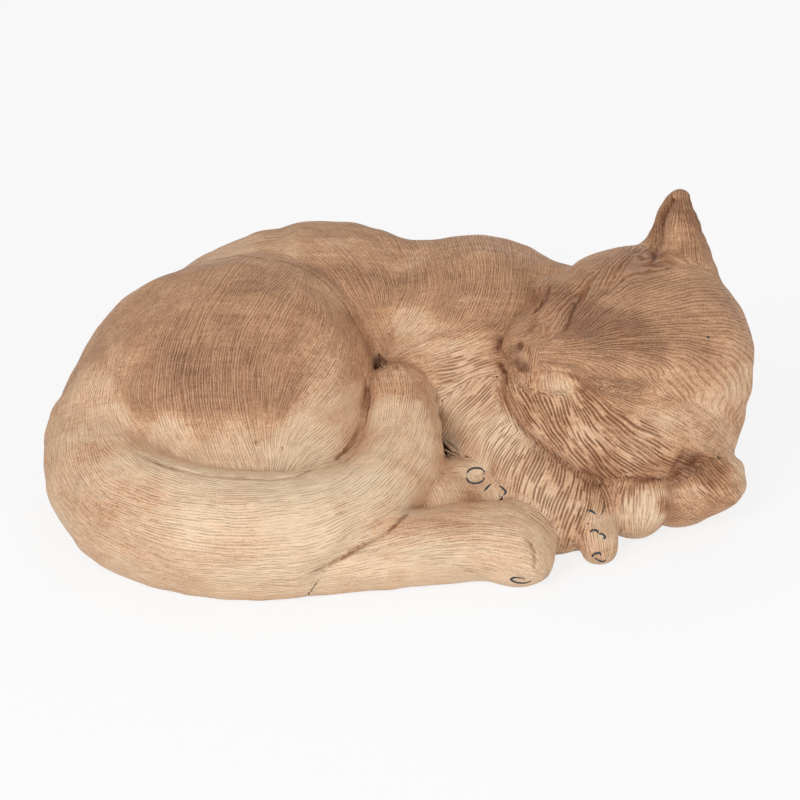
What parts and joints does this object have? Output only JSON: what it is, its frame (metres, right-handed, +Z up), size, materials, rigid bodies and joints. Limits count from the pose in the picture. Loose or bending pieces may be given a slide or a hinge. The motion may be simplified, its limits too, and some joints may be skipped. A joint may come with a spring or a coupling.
{
  "type": "wooden cat figurine",
  "caption": "Carved pale-wood figurine of a sleeping cat, curled with its tail round its haunch and its head on its forelegs; flat underside.",
  "frame": {"origin": "centre of the bounding box, on the flat underside that stands on the table", "axes": "+Z up; +X along the length, from the haunch to the head; +Y towards the cat's back, so the feet and face are on the -Y side"},
  "size_m": [0.2966, 0.1912, 0.1239],
  "materials": {
    "wood_haunch": "hand-carved, thin matt oil",
    "wood_nose": "hand-carved, thin matt oil",
    "wood_head": "hand-carved, thin matt oil",
    "wood_tail": "hand-carved, thin matt oil",
    "wood_hind_foot": "hand-carved, thin matt oil",
    "wood_near_forepaw": "hand-carved, thin matt oil",
    "wood_near_foreleg": "hand-carved, thin matt oil",
    "wood_far_foreleg": "hand-carved, thin matt oil",
    "wood_upper_ear": "hand-carved, thin matt oil",
    "wood_lower_ear": "hand-carved, thin matt oil",
    "wood_inner_hind_paw": "hand-carved, thin matt oil",
    "wood_shoulder": "hand-carved, thin matt oil",
    "wood_trunk": "hand-carved, thin matt oil"
  },
  "bodies": {
    "root": {"haunch": "wood_haunch", "nose": "wood_nose", "head": "wood_head", "tail": "wood_tail", "hind_foot": "wood_hind_foot", "near_forepaw": "wood_near_forepaw", "near_foreleg": "wood_near_foreleg", "far_foreleg": "wood_far_foreleg", "upper_ear": "wood_upper_ear", "lower_ear": "wood_lower_ear", "inner_hind_paw": "wood_inner_hind_paw", "shoulder": "wood_shoulder", "trunk": "wood_trunk"}
  },
  "joints": []
}
